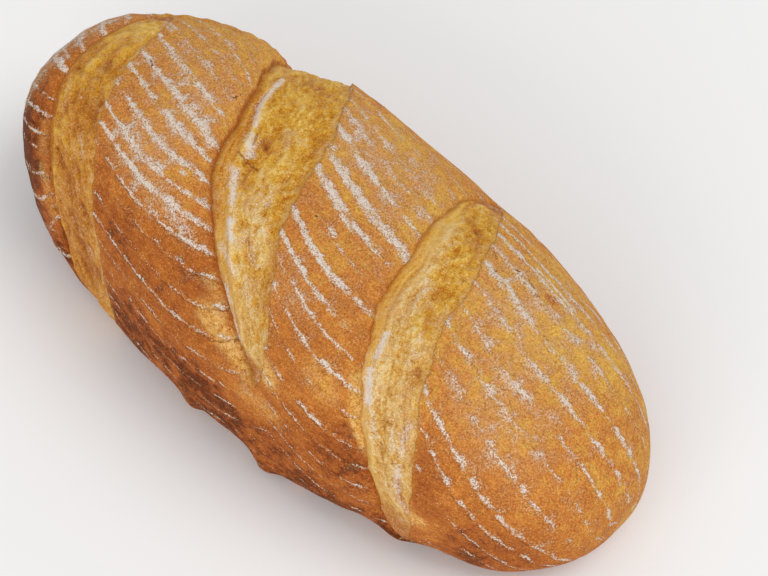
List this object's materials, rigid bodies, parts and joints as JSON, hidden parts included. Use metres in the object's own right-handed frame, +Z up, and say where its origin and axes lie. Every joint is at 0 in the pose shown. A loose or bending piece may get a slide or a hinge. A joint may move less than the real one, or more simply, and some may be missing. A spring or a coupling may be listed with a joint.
{
  "type": "bread loaf",
  "caption": "Long oval hearth loaf with a browned crust, diagonal slashes torn open in the oven, fine lengthwise basket ridges dusted with flour, and a flat underside.",
  "frame": {"origin": "on the oven floor plane, under the centre of the loaf's bounding box", "axes": "+X along the length of the loaf towards the end nearest the camera, +Z up out of the crown, -Y towards the long side that the picture shows"},
  "size_m": [0.33, 0.1456, 0.1029],
  "materials": {
    "crust": "dry satin baked crust, golden brown, dusted with flour"
  },
  "bodies": {
    "root": {"loaf": "crust"}
  },
  "joints": []
}
